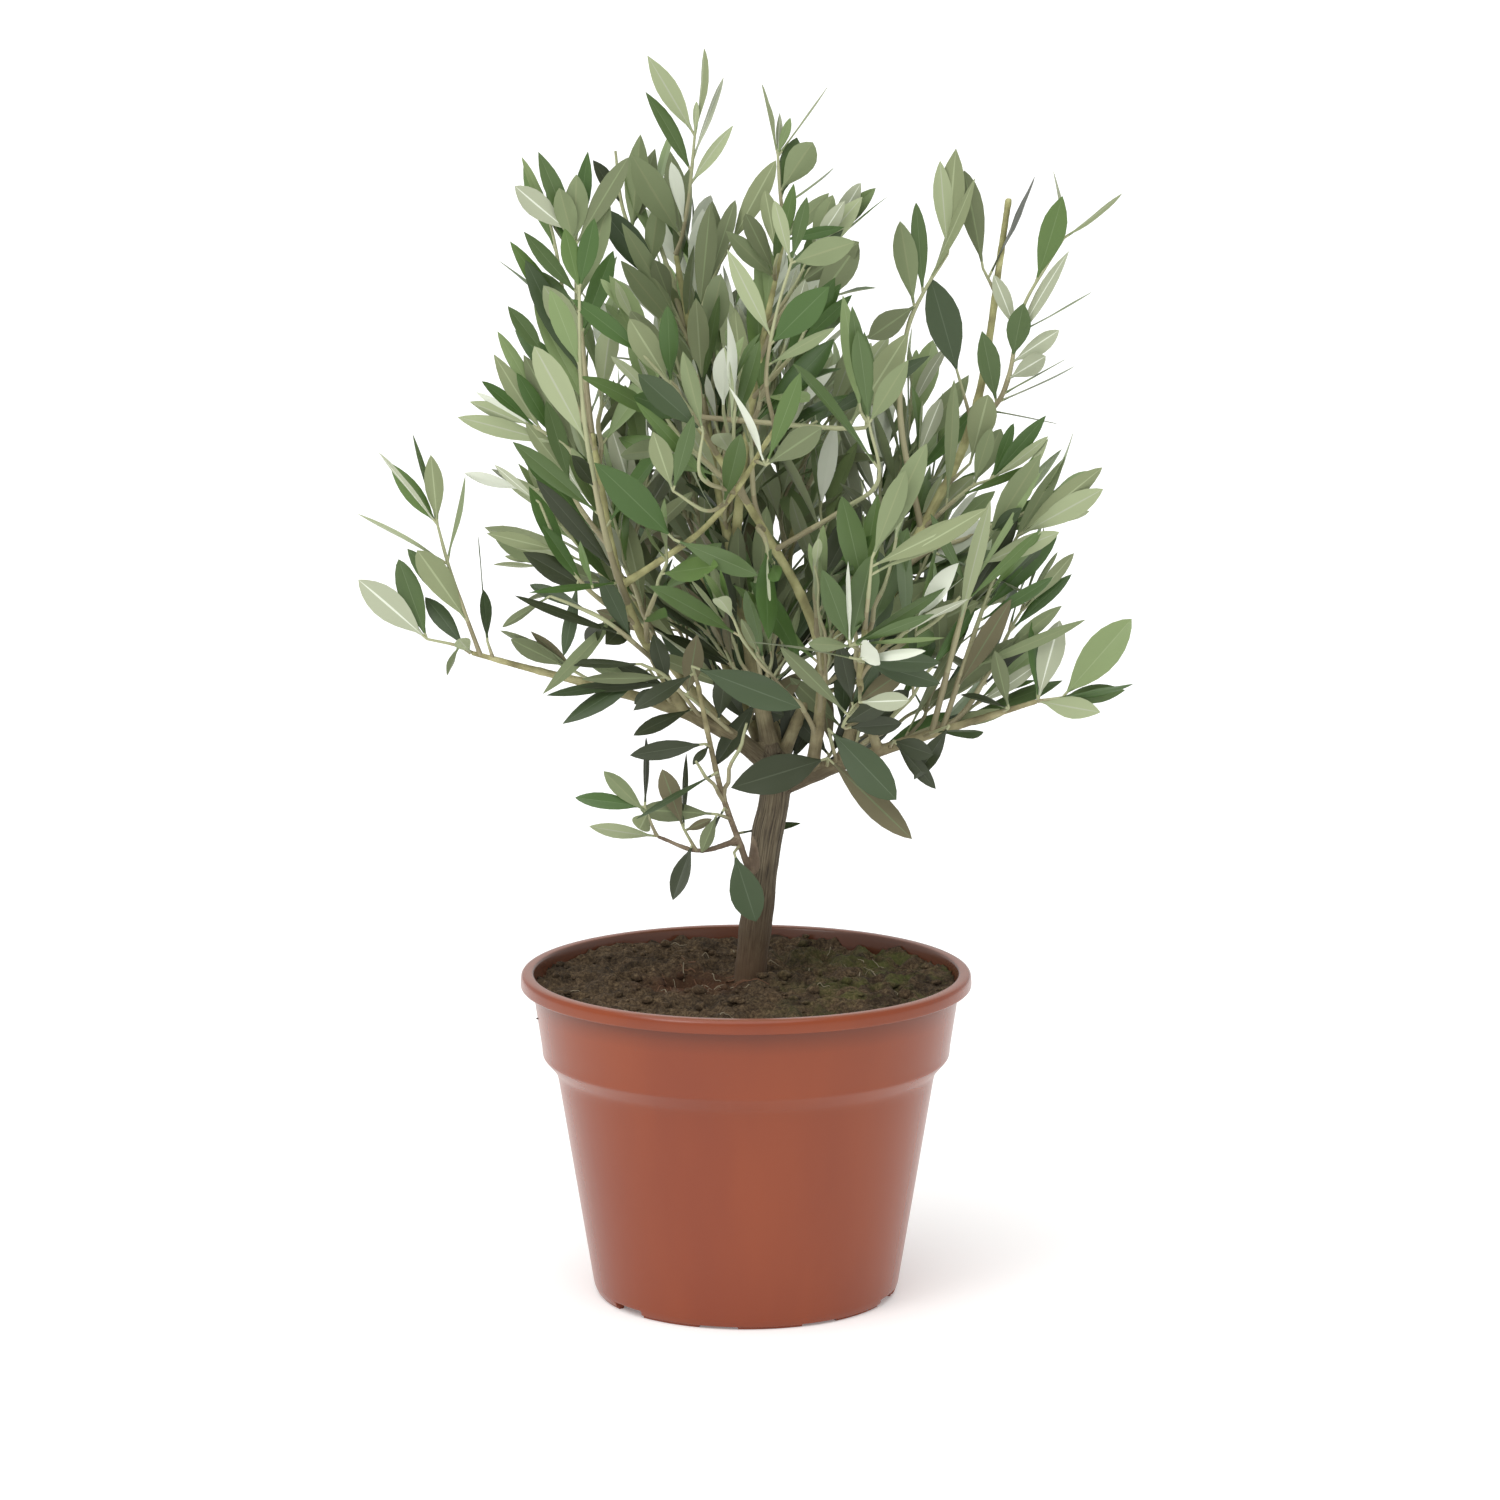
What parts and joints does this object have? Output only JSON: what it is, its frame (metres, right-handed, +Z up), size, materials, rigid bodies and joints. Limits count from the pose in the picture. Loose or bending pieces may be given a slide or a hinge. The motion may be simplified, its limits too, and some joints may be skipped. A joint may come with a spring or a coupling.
{
  "type": "potted olive tree",
  "caption": "Young olive tree with a leaning trunk, forked boughs and loose sprays of narrow leaves, standing in a round moulded nursery pot of compost.",
  "frame": {"origin": "on the ground, under the middle of the pot's flat foot ring", "axes": "+Z up along the pot's axis, +X to the right and -Y towards the viewer in the front view"},
  "size_m": [0.3272, 0.245, 0.526],
  "materials": {
    "pot": "satin injection-moulded polypropylene, terracotta brown",
    "compost": "damp lumpy potting compost with a mossy tint",
    "bark": "grey-brown bark with fine upright fissures, paler on young wood",
    "foliage": "leathery leaves, deep green above and sage grey below"
  },
  "bodies": {
    "root": {"bough_across": "bark", "bough_back_1": "bark", "bough_back_2": "bark", "bough_back_3": "bark", "bough_back_4": "bark", "bough_centre": "bark", "bough_front_right": "bark", "bough_leader": "bark", "bough_left": "bark", "bough_left_riser": "bark", "bough_low_left": "bark", "bough_low_riser": "bark", "bough_right": "bark", "bough_right_riser": "bark", "bough_top_right": "bark", "compost": "compost", "foliage_across": "foliage", "foliage_back_high_1": "foliage", "foliage_back_high_2": "foliage", "foliage_back_high_3": "foliage", "foliage_back_high_4": "foliage", "foliage_back_low_1": "foliage", "foliage_back_low_2": "foliage", "foliage_back_low_3": "foliage", "foliage_back_low_4": "foliage", "foliage_far_left_shoot": "foliage", "foliage_far_left_tip": "foliage", "foliage_far_right_top": "foliage", "foliage_front_centre": "foliage", "foliage_front_crown": "foliage", "foliage_front_left": "foliage", "foliage_front_low": "foliage", "foliage_front_right": "foliage", "foliage_front_right_low": "foliage", "foliage_leader_left": "foliage", "foliage_leader_top": "foliage", "foliage_left_high": "foliage", "foliage_left_low": "foliage", "foliage_left_mid": "foliage", "foliage_left_top": "foliage", "foliage_low_left": "foliage", "foliage_low_left_high": "foliage", "foliage_lower_core": "foliage", "foliage_right_hanging": "foliage", "foliage_right_high": "foliage", "foliage_right_low": "foliage", "foliage_right_mid": "foliage", "foliage_right_tip": "foliage", "foliage_right_top": "foliage", "foliage_right_under": "foliage", "foliage_top_right": "foliage", "foliage_top_right_side": "foliage", "foliage_trunk_side": "foliage", "foliage_upper_core": "foliage", "pot": "pot", "trunk": "bark"}
  },
  "joints": []
}
